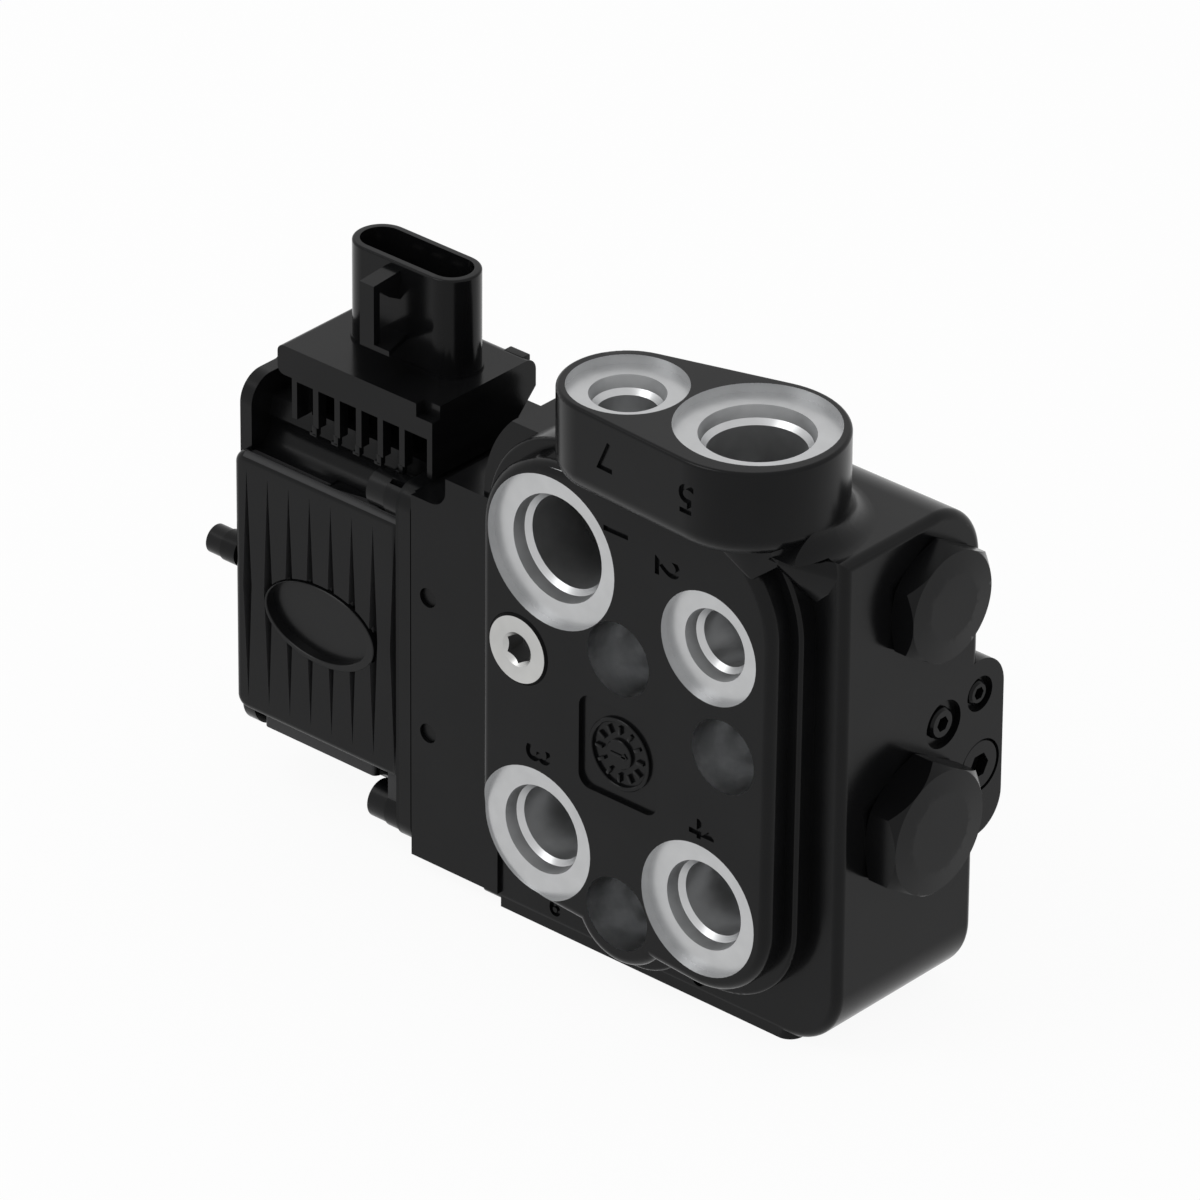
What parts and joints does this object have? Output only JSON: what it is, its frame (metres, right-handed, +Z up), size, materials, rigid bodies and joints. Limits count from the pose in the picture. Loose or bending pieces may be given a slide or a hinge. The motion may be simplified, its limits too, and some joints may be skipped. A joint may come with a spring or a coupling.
{
  "type": "electro-hydraulic steering valve block",
  "caption": "Black cast valve block with stud ports on the front and top, screw caps on the right, and a finned electronic actuator with an upright connector on the left.",
  "frame": {"origin": "middle of the foot pad's bottom face", "axes": "+X to the right, along both spool lines, away from the actuator; -Y out of the front ports; +Z up, out of the top ports"},
  "size_m": [0.1826, 0.0669, 0.1355],
  "materials": {
    "block_paint": "black painted casting with machined faces",
    "cap_paint": "black painted steel",
    "seal_rubber": "matt",
    "bright_plug": "turned, zinc plated",
    "dark_plug": "pressed flush",
    "ground_steel": "ground",
    "spring_steel": "drawn wire",
    "screen_brass": "woven screen in a ring",
    "plate_steel": "dark plate",
    "housing_black": "black die casting",
    "screw_black": "blackened",
    "coil_black": "moulded coil",
    "sensor_tube": "drawn tube",
    "board_green": "lacquered board",
    "chip_black": "moulded",
    "hood_black": "glass filled moulding",
    "contact_tin": "tinned"
  },
  "bodies": {
    "block": {"valve_block": "block_paint", "spool_cap": "cap_paint", "priority_cap": "cap_paint", "spool_cap_seal": "seal_rubber", "priority_cap_seal": "seal_rubber", "front_plug": "bright_plug", "front_plug_seal": "seal_rubber", "relief_plug": "cap_paint", "gauge_plug": "cap_paint", "suction_plug": "cap_paint", "expander_plugs": "dark_plug", "right_spring_seat": "ground_steel", "left_spring_seat": "ground_steel", "right_spring": "spring_steel", "left_spring": "spring_steel", "priority_spring": "spring_steel", "pilot_spring": "spring_steel", "relief_spring": "spring_steel", "suction_spring": "spring_steel", "pilot_screen": "screen_brass", "adapter_plate": "plate_steel", "housing_gasket": "seal_rubber", "plate_seals": "seal_rubber", "finned_housing": "housing_black", "housing_screws": "screw_black", "end_cover": "housing_black", "end_cover_screws": "screw_black", "solenoid_valve_1": "coil_black", "solenoid_valve_2": "coil_black", "solenoid_valve_3": "coil_black", "solenoid_valve_4": "coil_black", "position_sensor": "sensor_tube", "circuit_board": "board_green", "board_screws": "bright_plug", "board_parts": "chip_black", "connector_hood": "hood_black", "connector_socket": "hood_black", "terminals": "contact_tin", "connector_latch": "hood_black"},
    "spool": {"main_spool": "ground_steel", "sensor_core": "ground_steel"},
    "priority": {"priority_spool": "ground_steel"},
    "pilot": {"pilot_poppet": "ground_steel"},
    "relief": {"relief_poppet": "ground_steel"},
    "suction": {"suction_ball": "ground_steel"}
  },
  "joints": [
    {"name": "spool_slide", "type": "slide", "parent": "block", "child": "spool", "axis": [1, 0, 0], "range_m": [-0.004, 0.004], "stiffness_N_per_m": 4000, "deforming": ["right_spring", "left_spring"]},
    {"name": "priority_slide", "type": "slide", "parent": "block", "child": "priority", "axis": [-1, 0, 0], "range_m": [0, 0.008], "stiffness_N_per_m": 3000, "springref_m": -0.003, "deforming": ["priority_spring"]},
    {"name": "pilot_lift", "type": "slide", "parent": "block", "child": "pilot", "axis": [0, -1, 0], "range_m": [0, 0.0025], "stiffness_N_per_m": 5000, "springref_m": -0.0005, "deforming": ["pilot_spring"]},
    {"name": "relief_lift", "type": "slide", "parent": "block", "child": "relief", "axis": [1, 0, 0], "range_m": [0, 0.0012], "stiffness_N_per_m": 5000, "springref_m": -0.0005, "deforming": ["relief_spring"]},
    {"name": "suction_lift", "type": "slide", "parent": "block", "child": "suction", "axis": [1, 0, 0], "range_m": [0, 0.001], "stiffness_N_per_m": 500, "springref_m": -0.001, "deforming": ["suction_spring"]}
  ]
}
